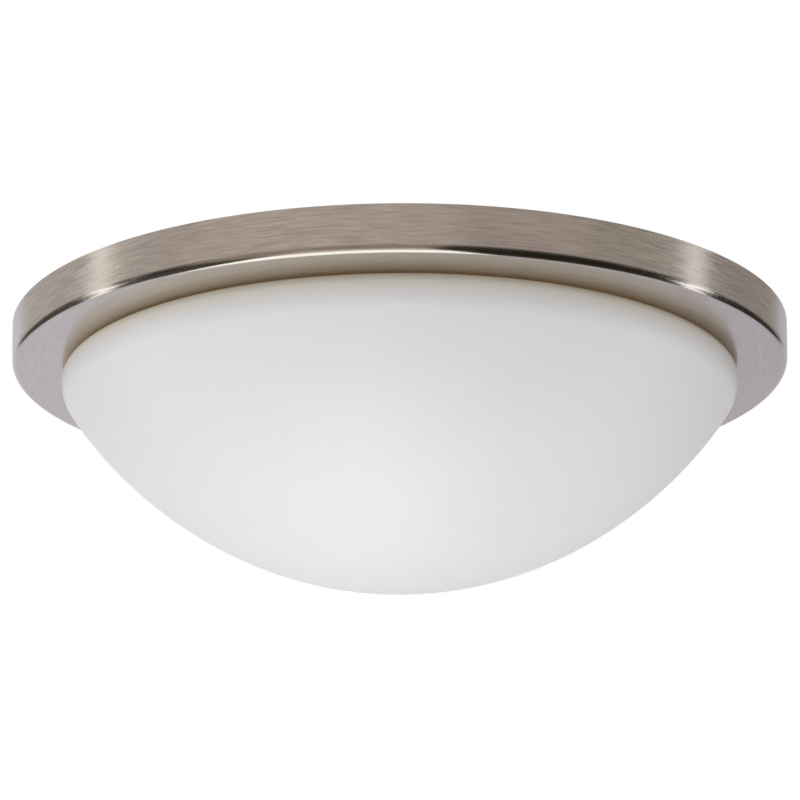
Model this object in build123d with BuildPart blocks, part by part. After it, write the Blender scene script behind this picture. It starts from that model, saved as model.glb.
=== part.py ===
from build123d import *
from math import atan2, cos, degrees, hypot, radians, sin, tan
import os

# Flush mount ceiling light: a pressed steel pan with a flat flange, and an opal glass bowl that
# twists into it. Millimetres. The origin is the centre of the pan's back edge, which lies on the
# ceiling, +Z points up into the ceiling and -Y to the front.

# Pan: the ring and flange that the room sees
ring_radius = 165.0  # outer wall, at its lower edge
ring_height = 18.3  # ceiling to flange
ring_taper = 0.6  # the wall's extra radius at the ceiling
ring_edge_radius = 3.0
pan_sheet = 1.0
pan_bend_radius = 1.0  # inside of the two bends at the drum
wiring_gap = 5.0  # ceiling to the top of the centre plate

# Glass bowl: its outline is four arcs, one after the other
bowl_radius = 144.2  # at its widest
bowl_wall = 3.5
rim_roll_radius = 4.2
shoulder_radius = 16.1
shoulder_end = 35.1  # degrees below horizontal where the shoulder meets the side
side_radius = 183.6
side_end = 61.5  # degrees below horizontal where the side meets the bottom
flange_gap = 0.3  # glass rim under the flange
shoulder_width = 16.2  # from the neck out to the widest place
neck_corner_radius = 1.5
neck_lip_radius = 1.2

# Bayonet: lugs on the glass's neck, and the clips that carry them
lug_count = 3
first_clip_angle = 90.0
lug_depth = 3.2
lug_height = 3.5
lug_half_angle = 5.0
lug_edge_radius = 0.8
lug_gap = 0.4  # lug to the clip's web
seat_gap = 0.3  # glass to clip, pad and stop
clip_sheet = 0.8
clip_bend_radius = 0.6
clip_lead_in = 1.5  # degrees of shelf ahead of the lug
clip_drum_gap = 0.6
stop_thickness = 1.4
foot_length = 19.0
shelf_neck_gap = 0.8
pad_thickness = 1.5
pad_length = 8.0
pad_inset_angle = 1.0
rivet_radius = 1.6
rivet_head_radius = 3.2
rivet_head_height = 1.3
rivet_tail_radius = 2.5
rivet_tail_height = 0.9
rivet_tail_bevel = 0.5
rivet_inset = 5.2  # from the foot's inner end

# Ceiling strap and its screws
strap_length = 122.0
strap_width = 20.0
strap_sheet = 1.6
strap_lip = 1.8  # turned-down sides, below the strap
strap_setback = 0.4  # strap below the ceiling, so that the ring closes first
strap_bend_radius = 0.4
strap_corner_radius = 4.0
box_slot_spacing = 79.5  # between slot centres, for 70 to 89 mm outlet boxes
box_slot_length = 14.5
box_slot_width = 5.0
pan_screw_spacing = 108.0
pan_screw_radius = 2.0
pan_screw_length = 12.7
pan_screw_head_radius = 4.2
pan_screw_head_height = 2.6
collar_radius = 3.6  # drawn up round each tapped hole
collar_height = 1.4
centre_hole_radius = 5.0
ground_screw_offset = 22.0
ground_screw_radius = 2.3
ground_screw_length = 6.3
ground_head_radius = 4.0
ground_head_height = 1.8
thread_gap = 0.08
keyhole_angle = 14.0  # degrees from the screw to the entry hole
screw_clearance = 0.5  # round a screw in its keyhole or plain hole
entry_clearance = 0.8
head_round = 0.6  # share of a head's height that is rounded
recess_width = 0.9
recess_depth = 1.0

# Bushing where the supply leads come through
bushing_bore_radius = 6.0
bushing_barrel_radius = 7.6
bushing_flange_radius = 9.6
bushing_flange_height = 1.6
bushing_lip = 0.7
bushing_lip_height = 1.2
bushing_gap = 0.3
bushing_strap_gap = 7.0

# LED ring board
board_thickness = 1.6
board_driver_gap = 4.6  # from the driver's corners to the board's inner edge
board_clip_gap = 1.5
board_screw_count = 6
board_screw_radius = 1.5
board_screw_length = 4.6
board_screw_head_radius = 2.8
board_screw_head_height = 1.7
led_length = 3.5
led_width = 2.8
led_height = 0.7
inner_led_count = 30
outer_led_count = 36
led_margin = 7.5  # ring of LEDs to the outer edge of the board
inner_led_margin = 14.0  # the same at the inner edge, which also holds the connector
connector_length = 9.0
connector_width = 10.0
connector_height = 4.4
connector_margin = 0.6
connector_corner_radius = 0.6
lead_radius = 0.9
lead_spacing = 2.6
lead_hole_gap = 0.15
lead_end_depth = 3.4
lead_hole_depth = 3.8
lead_sag = 2.4
lead_straight = 6.0  # straight end of a lead, in and ahead of the connector
lead_exit_length = 2.7  # straight run outside the driver
lead_slot_gap = 0.45
bend_share = 0.45  # a bend's share of the shorter run beside it
lead_run = 24.5  # from the driver's end to the connector's middle

# Driver housing
driver_length = 90.0
driver_width = 34.0
driver_height = 22.0
driver_wall = 1.5
driver_tray = 1.2
driver_corner_radius = 3.0
driver_edge_radius = 2.0
tray_lip_height = 3.0
tray_lip_wall = 1.2
tray_fit = 0.3
ear_length = 7.0
ear_width = 12.0
ear_corner_radius = 3.0
ear_screw_inset = 3.4
vent_count = 9
vent_pitch = 8.0
vent_length = 18.0
vent_width = 2.0
boss_radius = 2.4
boss_height = 2.3
boss_inset = 6.0
circuit_thickness = 1.6
circuit_gap = 1.0
transformer_length = 18.0
transformer_width = 16.0
transformer_height = 12.0
transformer_bobbin = 2.0
large_capacitor_radius = 5.0
large_capacitor_height = 13.0
small_capacitor_radius = 4.0
small_capacitor_height = 10.0
capacitor_edge_radius = 0.8
inductor_radius = 5.6
inductor_core_radius = 2.6
part_spacing = 3.0  # between the driver's larger components

# Terminal block
block_length = 26.0
block_depth = 14.0
block_height = 12.0
block_front = 2.0  # its front face, ahead of the light's centre
block_edge_radius = 0.8
pole_count = 3
pole_pitch = 7.5
pole_radius = 2.0
pole_depth = 9.0
pole_screw_radius = 1.8
pole_screw_gap = 0.3
pole_screw_depth = 2.6
pole_screw_height = 2.2
pole_screw_inset = 5.0
peg_radius = 1.9
peg_gap = 0.15
peg_length = 2.2

# Levels, downwards from the ceiling
flange_z = -ring_height
plate_top_z = -wiring_gap
plate_z = plate_top_z - pan_sheet
strap_top_z = -strap_setback
strap_z = strap_top_z - strap_sheet
rim_z = flange_z - flange_gap
foot_z = plate_z - clip_sheet
pad_z = foot_z - pad_thickness
neck_top_z = pad_z - seat_gap
board_z = plate_z - board_thickness
tray_z = plate_z - driver_tray
circuit_top_z = tray_z - boss_height
circuit_z = circuit_top_z - circuit_thickness

# Places across the plate
bushing_y = strap_width / 2 + bushing_strap_gap + bushing_flange_radius
driver_front_y = -block_front - block_depth
driver_y = driver_front_y - driver_width / 2
ear_screw_x = driver_length / 2 + ear_screw_inset
pan_screw_x = pan_screw_spacing / 2
circuit_length = driver_length - 2 * (driver_wall + tray_fit + tray_lip_wall + circuit_gap)
circuit_width = driver_width - 2 * (driver_wall + tray_fit + tray_lip_wall + circuit_gap)

# Radii, outwards from the centre
neck_radius = bowl_radius - shoulder_width
lug_radius = neck_radius + lug_depth
web_radius = lug_radius + lug_gap + clip_sheet  # the clip's outer face
drum_radius = web_radius + clip_drum_gap
foot_radius = web_radius - foot_length
shelf_radius = neck_radius + shelf_neck_gap
rivet_circle = foot_radius + rivet_inset
board_outer_radius = foot_radius - board_clip_gap
board_inner_radius = hypot(driver_length / 2, driver_y - driver_width / 2) + board_driver_gap
board_screw_circle = (board_outer_radius + board_inner_radius) / 2
outer_led_circle = board_outer_radius - led_margin
inner_led_circle = board_inner_radius + inner_led_margin

# The clip's opening holds the lug between its shelf and the pad above the neck
lug_z = rim_z + (neck_top_z - rim_z) / 2 - lug_height / 2
shelf_top_z = lug_z - seat_gap
shelf_z = shelf_top_z - clip_sheet
stop_angle = lug_half_angle + degrees(seat_gap / lug_radius)
stop_sweep = degrees(stop_thickness / lug_radius)
stop_width = web_radius - clip_sheet / 2 - shelf_radius
stop_height = lug_z + lug_height - shelf_z
clip_start = -lug_half_angle - clip_lead_in
clip_sweep = stop_angle + stop_sweep - clip_start
clip_angles = [first_clip_angle + 360.0 * i / lug_count for i in range(lug_count)]

# Screws: shank radius, length, head radius, head height
pan_screw = (pan_screw_radius, pan_screw_length, pan_screw_head_radius, pan_screw_head_height)
ground_screw_size = (ground_screw_radius, ground_screw_length, ground_head_radius, ground_head_height)
board_screw = (board_screw_radius, board_screw_length, board_screw_head_radius, board_screw_head_height)

# The connector lies in line with the driver's end, so that its leads run nearly straight
connector_circle = board_inner_radius + connector_margin + connector_length / 2
connector_angle = degrees(atan2(driver_y, driver_length / 2 + lead_run))
connector_plane = Plane(
    origin=(
        connector_circle * cos(radians(connector_angle)),
        connector_circle * sin(radians(connector_angle)),
        board_z,
    ),
    x_dir=(cos(radians(connector_angle)), sin(radians(connector_angle)), 0),
    z_dir=(0, 0, 1),
)

colour_steel = Color(0.62, 0.58, 0.54)
colour_zinc = Color(0.72, 0.72, 0.70)
colour_white = Color(0.93, 0.93, 0.92)
colour_green = Color(0.10, 0.45, 0.22)
colour_black = Color(0.08, 0.08, 0.09)
colour_red = Color(0.65, 0.10, 0.10)
colour_opal = Color(0.92, 0.91, 0.89)
colour_yellow = Color(0.93, 0.85, 0.45)


def radial_plane(angle):
    """A vertical half plane at this angle: X is the radius and Y is the height."""
    c = cos(radians(angle))
    s = sin(radians(angle))
    return Plane(origin=(0, 0, 0), x_dir=(c, s, 0), z_dir=(s, -c, 0))


def write(part, name, colour):
    part.part.label = name
    part.part.color = colour
    export_step(part.part, f"parts/{name}.step")


def upright_plane(x, y):
    """A vertical plane through (x, y), for a profile that is turned about its own axis."""
    return Plane(origin=(x, y, 0), x_dir=(1, 0, 0), z_dir=(0, -1, 0))


def add_screw(x, y, seat_z, shank_radius, length, head_radius, head_height):
    """A pan head screw, its head under seat_z and its shank above, with a cross recess."""
    with BuildSketch(upright_plane(x, y)) as half_profile:
        with BuildLine():
            Polyline(
                (0, seat_z - head_height),
                (head_radius, seat_z - head_height),
                (head_radius, seat_z),
                (shank_radius, seat_z),
                (shank_radius, seat_z + length - shank_radius / 2),
                (shank_radius / 2, seat_z + length),
                (0, seat_z + length),
                close=True,
            )
        make_face()
        rounded = vertices().group_by(Axis.Y)[0].sort_by(Axis.X)[-1]
        fillet(rounded, radius=head_round * head_height)
    revolve(half_profile.sketch, axis=Axis((x, y, 0), (0, 0, 1)))
    with BuildSketch(Plane.XY.offset(seat_z - head_height)) as recess:
        with Locations((x, y)):
            Rectangle(head_radius, recess_width)
            Rectangle(recess_width, head_radius)
    extrude(recess.sketch, amount=recess_depth, mode=Mode.SUBTRACT)


def cut_holes(places, radius, low_z, high_z):
    """Round holes right through, between two levels."""
    with BuildSketch(Plane.XY.offset(low_z)) as holes:
        with Locations(*places):
            Circle(radius)
    extrude(holes.sketch, amount=high_z - low_z, mode=Mode.SUBTRACT)


def on_circle(radius, angles):
    return [(radius * cos(radians(a)), radius * sin(radians(a))) for a in angles]


def bowl_outline(inset):
    """The bowl's four arcs from its rim's top to its lowest point, drawn this far inside the glass."""
    rim_x = bowl_radius - rim_roll_radius
    rim_y = rim_z - rim_roll_radius
    shoulder_x = bowl_radius - shoulder_radius
    side_step = side_radius - shoulder_radius
    side_x = shoulder_x - side_step * cos(radians(shoulder_end))
    side_y = rim_y + side_step * sin(radians(shoulder_end))
    bottom_step = -side_x / cos(radians(side_end))
    bottom_radius = side_radius - bottom_step
    bottom_y = side_y - bottom_step * sin(radians(side_end))
    CenterArc((rim_x, rim_y), rim_roll_radius - inset, 90, -90)
    CenterArc((shoulder_x, rim_y), shoulder_radius - inset, 0, -shoulder_end)
    CenterArc((side_x, side_y), side_radius - inset, -shoulder_end, shoulder_end - side_end)
    CenterArc((0, bottom_y), bottom_radius - inset, -side_end, side_end - 90)
    return bottom_y - bottom_radius + inset


# Pan: one revolved sheet from the ring's wall, over the flange and up the drum to the centre plate
first_board_screw = 180.0 / inner_led_count  # half way between two of the inner LEDs
board_screw_angles = [first_board_screw + 360.0 * i / board_screw_count for i in range(board_screw_count)]
board_screw_places = on_circle(board_screw_circle, board_screw_angles)
rivet_places = on_circle(rivet_circle, clip_angles)
ear_screw_places = [(-ear_screw_x, driver_y), (ear_screw_x, driver_y)]
block_place = (0, -block_front - block_depth / 2)
taper_slope = ring_taper / ring_height
keyhole_width = 2 * (pan_screw_radius + screw_clearance)

with BuildPart() as pan:
    with BuildSketch(Plane.XZ):
        with BuildLine():
            FilletPolyline(
                (ring_radius + ring_taper + pan_sheet * taper_slope, pan_sheet),
                (ring_radius, flange_z),
                (drum_radius, flange_z),
                (drum_radius, plate_z),
                (0, plate_z),
                radius=(ring_edge_radius, pan_bend_radius + pan_sheet, pan_bend_radius),
            )
            offset(amount=pan_sheet, side=Side.RIGHT)
        make_face()
    revolve(axis=Axis.Z)
    split(bisect_by=Plane.XY, keep=Keep.BOTTOM)
    with BuildSketch(Plane.XY.offset(plate_z)):
        with PolarLocations(0, 2):
            SlotArc(CenterArc((0, 0), pan_screw_x, 0, keyhole_angle), keyhole_width)
            with Locations(on_circle(pan_screw_x, [keyhole_angle])[0]):
                Circle(pan_screw_head_radius + entry_clearance)
    extrude(amount=pan_sheet, mode=Mode.SUBTRACT)
    cut_holes([(0, bushing_y)], bushing_barrel_radius + bushing_gap, plate_z, plate_top_z)
    cut_holes(rivet_places, rivet_radius, plate_z, plate_top_z)
    cut_holes(board_screw_places, board_screw_radius + thread_gap, plate_z, plate_top_z)
    cut_holes(ear_screw_places, board_screw_radius + thread_gap, plate_z, plate_top_z)
    cut_holes([block_place], peg_radius + peg_gap, plate_z, plate_top_z)
write(pan, "pan", colour_steel)

# Strap that screws to the outlet box: a shallow channel with slots and drawn, tapped holes
pan_screw_places = [(-pan_screw_x, 0), (pan_screw_x, 0)]
ground_place = (ground_screw_offset, 0)
with BuildPart() as mounting_crossbar:
    with BuildSketch(Plane.YZ.offset(-strap_length / 2)):
        with BuildLine():
            FilletPolyline(
                (-strap_width / 2, strap_z - strap_lip),
                (-strap_width / 2, strap_top_z),
                (strap_width / 2, strap_top_z),
                (strap_width / 2, strap_z - strap_lip),
                radius=strap_sheet + strap_bend_radius,
            )
            offset(amount=strap_sheet, side=Side.RIGHT)
        make_face()
    extrude(amount=strap_length)
    with BuildSketch(Plane.XY.offset(strap_z - strap_lip)):
        RectangleRounded(strap_length, strap_width, strap_corner_radius)
    extrude(amount=strap_top_z - strap_z + strap_lip, mode=Mode.INTERSECT)
    with BuildSketch(Plane.XY.offset(strap_z)):
        with Locations(*pan_screw_places, ground_place):
            Circle(collar_radius)
    extrude(amount=strap_sheet + collar_height)
    with BuildSketch(Plane.XY.offset(strap_z)):
        with GridLocations(box_slot_spacing, 0, 2, 1):
            SlotOverall(box_slot_length, box_slot_width)
    extrude(amount=strap_sheet, mode=Mode.SUBTRACT)
    collar_top_z = strap_top_z + collar_height
    cut_holes(pan_screw_places, pan_screw_radius + thread_gap, strap_z, collar_top_z)
    cut_holes([ground_place], ground_screw_radius + thread_gap, strap_z, collar_top_z)
    cut_holes([(0, 0)], centre_hole_radius, strap_z, strap_top_z)
write(mounting_crossbar, "mounting_crossbar", colour_zinc)

with BuildPart() as pan_mounting_screws:
    for x, y in pan_screw_places:
        add_screw(x, y, plate_z, *pan_screw)
write(pan_mounting_screws, "pan_mounting_screws", colour_zinc)

with BuildPart() as ground_screw:
    add_screw(*ground_place, strap_z, *ground_screw_size)
write(ground_screw, "ground_screw", colour_green)

# Bushing: a flange under the plate, a barrel through it and a lip that snaps over it
with BuildPart() as wire_bushing:
    with BuildSketch(upright_plane(0, bushing_y)):
        with BuildLine():
            Polyline(
                (bushing_bore_radius, plate_z - bushing_flange_height),
                (bushing_flange_radius, plate_z - bushing_flange_height),
                (bushing_flange_radius, plate_z),
                (bushing_barrel_radius, plate_z),
                (bushing_barrel_radius, plate_top_z),
                (bushing_barrel_radius + bushing_lip, plate_top_z),
                (bushing_barrel_radius, plate_top_z + bushing_lip_height),
                (bushing_bore_radius, plate_top_z + bushing_lip_height),
                close=True,
            )
        make_face()
    revolve(axis=Axis((0, bushing_y, 0), (0, 0, 1)))
write(wire_bushing, "wire_bushing", colour_black)

# Clips: a bent strip round each lug, with its foot under the plate and a stop at the shelf's end
for number, angle in enumerate(clip_angles, start=1):
    with BuildPart() as glass_clip:
        with BuildSketch(radial_plane(angle + clip_start)):
            with BuildLine():
                FilletPolyline(
                    (foot_radius, plate_z),
                    (web_radius, plate_z),
                    (web_radius, shelf_z),
                    (shelf_radius, shelf_z),
                    radius=clip_sheet + clip_bend_radius,
                )
                offset(amount=clip_sheet, side=Side.RIGHT)
            make_face()
        revolve(axis=Axis.Z, revolution_arc=clip_sweep)
        with BuildSketch(radial_plane(angle + stop_angle)):
            with Locations((shelf_radius, shelf_z)):
                Rectangle(stop_width, stop_height, align=(Align.MIN, Align.MIN))
        revolve(axis=Axis.Z, revolution_arc=stop_sweep)
        cut_holes(on_circle(rivet_circle, [angle]), rivet_radius, foot_z, plate_z)
    write(glass_clip, f"glass_clip_{number}", colour_zinc)

# Pads under the clips' feet, which press on the neck's top
pad_centre_radius = neck_radius - bowl_wall / 2
pad_start = clip_start + pad_inset_angle
pad_sweep = clip_sweep - 2 * pad_inset_angle
with BuildPart() as clip_pads:
    for angle in clip_angles:
        with BuildSketch(radial_plane(angle + pad_start)):
            with Locations((pad_centre_radius, (foot_z + pad_z) / 2)):
                Rectangle(pad_length, pad_thickness)
        revolve(axis=Axis.Z, revolution_arc=pad_sweep)
write(clip_pads, "clip_pads", colour_white)

# Rivets: a domed head under each foot and a spread tail on top of the plate
with BuildPart() as clip_rivets:
    for x, y in rivet_places:
        with BuildSketch(upright_plane(x, y)):
            with BuildLine():
                EllipticalCenterArc((0, foot_z), rivet_head_radius, rivet_head_height, -90, arc_size=90)
                Polyline(
                    (rivet_head_radius, foot_z),
                    (rivet_radius, foot_z),
                    (rivet_radius, plate_top_z),
                    (rivet_tail_radius, plate_top_z),
                    (rivet_tail_radius - rivet_tail_bevel, plate_top_z + rivet_tail_height),
                    (0, plate_top_z + rivet_tail_height),
                    (0, foot_z - rivet_head_height),
                )
            make_face()
        revolve(axis=Axis((x, y, 0), (0, 0, 1)))
write(clip_rivets, "clip_rivets", colour_zinc)

# LED board and what is on it
with BuildPart() as led_board:
    with BuildSketch(Plane.XY.offset(board_z)):
        Circle(board_outer_radius)
        Circle(board_inner_radius, mode=Mode.SUBTRACT)
        with Locations(*board_screw_places):
            Circle(board_screw_radius + screw_clearance, mode=Mode.SUBTRACT)
    extrude(amount=board_thickness)
write(led_board, "led_board", colour_white)

with BuildPart() as led_packages:
    with BuildSketch(Plane.XY.offset(board_z - led_height)):
        with PolarLocations(inner_led_circle, inner_led_count):
            Rectangle(led_width, led_length)
        with PolarLocations(outer_led_circle, outer_led_count):
            Rectangle(led_width, led_length)
    extrude(amount=led_height)
write(led_packages, "led_packages", colour_yellow)

with BuildPart() as led_board_screws:
    for x, y in board_screw_places:
        add_screw(x, y, board_z, *board_screw)
write(led_board_screws, "led_board_screws", colour_zinc)

# Connector: two holes in its inner end take the leads
lead_offsets = (-lead_spacing / 2, lead_spacing / 2)
with BuildPart() as board_connector:
    with BuildSketch(connector_plane):
        Rectangle(connector_length, connector_width)
    extrude(amount=-connector_height)
    fillet(edges().filter_by(Axis.Z), radius=connector_corner_radius)
    for side in lead_offsets:
        mouth = connector_plane.from_local_coords((-connector_length / 2, side, -connector_height / 2))
        with BuildSketch(Plane(origin=mouth, z_dir=connector_plane.x_dir)):
            Circle(lead_radius + lead_hole_gap)
        extrude(amount=lead_hole_depth, mode=Mode.SUBTRACT)
write(board_connector, "board_connector", colour_white)


def lead_path(points):
    """Straight runs joined by arcs that are as large as the shorter run beside each allows."""
    radii = []
    for before, corner, after in zip(points, points[1:], points[2:]):
        entry = corner - before
        leave = after - corner
        half_turn = radians(entry.get_angle(leave)) / 2
        radii.append(bend_share * min(entry.length, leave.length) / tan(half_turn))
    return FilletPolyline(*points, radius=radii)


# Leads: from under the driver's circuit board, out of its end and into the connector
lead_start_x = circuit_length / 2 - lead_radius
lead_exit_x = driver_length / 2 + lead_exit_length
lead_slot_width = 2 * (lead_radius + lead_slot_gap)
lead_start_z = circuit_z - lead_radius
lead_end_x = lead_end_depth - connector_length / 2
for side, name, colour in zip(lead_offsets, ("negative", "positive"), (colour_black, colour_red)):
    end = connector_plane.from_local_coords((lead_end_x, side, -connector_height / 2))
    ahead = connector_plane.from_local_coords((lead_end_x - lead_straight, side, -connector_height / 2))
    start = Vector(lead_start_x, driver_y + side, lead_start_z)
    leave = Vector(lead_exit_x, driver_y + side, lead_start_z)
    middle = (leave + ahead) / 2 - Vector(0, 0, lead_sag)
    with BuildPart() as led_lead:
        with BuildLine():
            lead_path([start, leave, middle, ahead, end])
        with BuildSketch(Plane(origin=start, z_dir=(1, 0, 0))):
            Circle(lead_radius)
        sweep()
    write(led_lead, f"led_lead_{name}", colour)

# Driver: a tray with two ears, a vented cover over it, and a circuit board on four bosses
tray_inset = driver_wall + tray_fit
driver_plane = Plane((0, driver_y, 0))
with BuildPart() as driver_base:
    with BuildSketch(driver_plane.offset(tray_z)):
        RectangleRounded(driver_length, driver_width, driver_corner_radius)
        RectangleRounded(driver_length + 2 * ear_length, ear_width, ear_corner_radius)
        with GridLocations(2 * ear_screw_x, 0, 2, 1):
            Circle(board_screw_radius + screw_clearance, mode=Mode.SUBTRACT)
    extrude(amount=driver_tray)
    with BuildSketch(driver_plane.offset(tray_z)):
        lip_length = driver_length - 2 * tray_inset
        lip_width = driver_width - 2 * tray_inset
        RectangleRounded(lip_length, lip_width, driver_corner_radius - driver_wall)
        Rectangle(lip_length - 2 * tray_lip_wall, lip_width - 2 * tray_lip_wall, mode=Mode.SUBTRACT)
    extrude(amount=-tray_lip_height)
    with BuildSketch(driver_plane.offset(circuit_top_z)):
        with GridLocations(circuit_length - 2 * boss_inset, circuit_width - 2 * boss_inset, 2, 2):
            Circle(boss_radius)
    extrude(amount=boss_height)
write(driver_base, "driver_base", colour_zinc)

cover_z = plate_z - driver_height
with BuildPart() as driver_cover:
    with BuildSketch(driver_plane.offset(cover_z)):
        RectangleRounded(driver_length, driver_width, driver_corner_radius)
    extrude(amount=tray_z - cover_z)
    fillet(faces().sort_by(Axis.Z)[0].edges(), radius=driver_edge_radius)
    offset(amount=-driver_wall, openings=faces().sort_by(Axis.Z)[-1])
    with BuildSketch(driver_plane.offset(cover_z)):
        with GridLocations(vent_pitch, 0, vent_count, 1):
            SlotOverall(vent_length, vent_width, rotation=90)
    extrude(amount=driver_wall, mode=Mode.SUBTRACT)
    with BuildSketch(Plane.YZ.offset(driver_length / 2 - driver_wall)):
        with Locations((driver_y, lead_start_z)):
            SlotOverall(lead_spacing + lead_slot_width, lead_slot_width)
    extrude(amount=driver_wall, mode=Mode.SUBTRACT)
write(driver_cover, "driver_cover", colour_white)

with BuildPart() as driver_circuit_board:
    with BuildSketch(driver_plane.offset(circuit_z)):
        Rectangle(circuit_length, circuit_width)
    extrude(amount=circuit_thickness)
write(driver_circuit_board, "driver_circuit_board", colour_green)

# The driver's larger components stand in a row under its circuit board
inductor_outer_radius = inductor_radius + inductor_core_radius
transformer_x = 0
large_capacitor_x = transformer_x + transformer_length / 2 + part_spacing + large_capacitor_radius
inductor_x = transformer_x - transformer_length / 2 - part_spacing - inductor_outer_radius
small_capacitor_x = inductor_x - inductor_outer_radius - part_spacing - small_capacitor_radius
with BuildPart() as driver_transformer:
    with BuildSketch(driver_plane.offset(circuit_z)):
        with Locations((transformer_x, 0)):
            Rectangle(transformer_length, transformer_width - 2 * transformer_bobbin)
    extrude(amount=-transformer_height)
    with BuildSketch(driver_plane.offset(circuit_z - transformer_bobbin)):
        with Locations((transformer_x, 0)):
            Ellipse(transformer_length / 2 - transformer_bobbin, transformer_width / 2)
    extrude(amount=2 * transformer_bobbin - transformer_height)
write(driver_transformer, "driver_transformer", colour_yellow)

with BuildPart() as driver_capacitors:
    for x, radius, height in (
        (large_capacitor_x, large_capacitor_radius, large_capacitor_height),
        (small_capacitor_x, small_capacitor_radius, small_capacitor_height),
    ):
        with BuildSketch(driver_plane.offset(circuit_z)):
            with Locations((x, 0)):
                Circle(radius)
        extrude(amount=-height)
        fillet(faces(Select.LAST).sort_by(Axis.Z)[0].edges(), radius=capacitor_edge_radius)
write(driver_capacitors, "driver_capacitors", colour_black)

with BuildPart() as driver_inductor:
    with BuildSketch(upright_plane(inductor_x, driver_y)):
        with Locations((inductor_radius, circuit_z - inductor_core_radius)):
            Circle(inductor_core_radius)
    revolve(axis=Axis((inductor_x, driver_y, 0), (0, 0, 1)))
write(driver_inductor, "driver_inductor", colour_yellow)

with BuildPart() as driver_screws:
    for x, y in ear_screw_places:
        add_screw(x, y, tray_z, *board_screw)
write(driver_screws, "driver_screws", colour_zinc)

# Terminal block: wire holes in its front face, screw wells below, and a peg into the plate
block_plane = Plane((block_place[0], block_place[1], plate_z))
screw_row_y = block_depth / 2 - pole_screw_inset
with BuildPart() as terminal_block:
    with BuildSketch(block_plane):
        Rectangle(block_length, block_depth)
    extrude(amount=-block_height)
    fillet(faces().sort_by(Axis.Z)[0].edges(), radius=block_edge_radius)
    with BuildSketch(Plane.XZ.offset(block_front)):
        with Locations((0, plate_z - block_height / 2)):
            with GridLocations(pole_pitch, 0, pole_count, 1):
                Circle(pole_radius)
    extrude(amount=pole_depth, mode=Mode.SUBTRACT)
    with BuildSketch(block_plane.offset(-block_height)):
        with Locations((0, screw_row_y)):
            with GridLocations(pole_pitch, 0, pole_count, 1):
                Circle(pole_screw_radius + pole_screw_gap)
    extrude(amount=pole_screw_depth, mode=Mode.SUBTRACT)
    with BuildSketch(block_plane):
        Circle(peg_radius)
    extrude(amount=peg_length)
write(terminal_block, "terminal_block", colour_white)

with BuildPart() as terminal_screws:
    with BuildSketch(block_plane.offset(pole_screw_depth - block_height)):
        with Locations((0, screw_row_y)):
            with GridLocations(pole_pitch, 0, pole_count, 1):
                Circle(pole_screw_radius)
    extrude(amount=-pole_screw_height)
    with BuildSketch(block_plane.offset(pole_screw_depth - pole_screw_height - block_height)):
        with Locations((0, screw_row_y)):
            with GridLocations(pole_pitch, 0, pole_count, 1):
                Rectangle(2 * pole_screw_radius, recess_width)
    extrude(amount=recess_depth, mode=Mode.SUBTRACT)
write(terminal_screws, "terminal_screws", colour_zinc)

# Glass: a bowl and neck of one wall, turned about the centre line, with a lug at each clip
lug_root_radius = neck_radius - bowl_wall / 2
with BuildPart() as glass_diffuser:
    with BuildSketch(Plane.XZ):
        with BuildLine():
            outer_bottom = bowl_outline(0)
            inner_bottom = bowl_outline(bowl_wall)
            Line((0, outer_bottom), (0, inner_bottom))
            FilletPolyline(
                (bowl_radius - rim_roll_radius, rim_z),
                (neck_radius, rim_z),
                (neck_radius, neck_top_z),
                (neck_radius - bowl_wall, neck_top_z),
                (neck_radius - bowl_wall, rim_z - bowl_wall),
                (bowl_radius - rim_roll_radius, rim_z - bowl_wall),
                radius=(
                    neck_corner_radius,
                    neck_lip_radius,
                    neck_lip_radius,
                    neck_corner_radius + bowl_wall,
                ),
            )
        make_face()
    revolve(axis=Axis.Z)
    for angle in clip_angles:
        with BuildSketch(radial_plane(angle - lug_half_angle)):
            with Locations((lug_root_radius, lug_z)):
                Rectangle(lug_radius - lug_root_radius, lug_height, align=(Align.MIN, Align.MIN))
            fillet(vertices().group_by(Axis.X)[-1], radius=lug_edge_radius)
        revolve(axis=Axis.Z, revolution_arc=2 * lug_half_angle)
write(glass_diffuser, "glass_diffuser", colour_opal)
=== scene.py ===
from math import atan2, cos, pi, radians, sin, tan

import bpy
from bpy.props import FloatProperty, FloatVectorProperty, IntProperty, PointerProperty
from mathutils import Matrix, Vector


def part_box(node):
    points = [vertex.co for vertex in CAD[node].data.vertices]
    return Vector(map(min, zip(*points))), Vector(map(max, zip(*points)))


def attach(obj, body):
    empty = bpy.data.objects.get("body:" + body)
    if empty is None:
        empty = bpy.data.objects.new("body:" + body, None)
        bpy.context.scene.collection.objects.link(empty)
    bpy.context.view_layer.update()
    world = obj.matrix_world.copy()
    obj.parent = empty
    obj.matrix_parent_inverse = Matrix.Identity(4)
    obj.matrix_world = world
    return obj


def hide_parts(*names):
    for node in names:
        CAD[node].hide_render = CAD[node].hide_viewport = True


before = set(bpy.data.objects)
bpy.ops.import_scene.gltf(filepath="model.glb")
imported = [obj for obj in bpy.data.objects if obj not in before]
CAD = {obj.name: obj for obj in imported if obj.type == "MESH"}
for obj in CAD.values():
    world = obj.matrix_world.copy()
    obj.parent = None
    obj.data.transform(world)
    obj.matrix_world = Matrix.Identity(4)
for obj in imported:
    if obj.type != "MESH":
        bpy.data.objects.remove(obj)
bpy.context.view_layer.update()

bl_info = {
    "name": "Flush mount ceiling light",
    "version": (1, 0, 0),
    "blender": (4, 5, 0),
    "location": "3D View > Sidebar > Ceiling light",
    "description": "Brushed nickel pan, opal glass bowl, fittings, LED board, driver and studio",
    "category": "Object",
}

MM = 0.001
FIXTURE = "fixture"
SHADE = "shade"


def node_centre(name):
    low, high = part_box(name)
    return (low + high) / 2


def node_size(name):
    low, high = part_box(name)
    return high - low


# ---------------------------------------------------------------- sizes and colours


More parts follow.
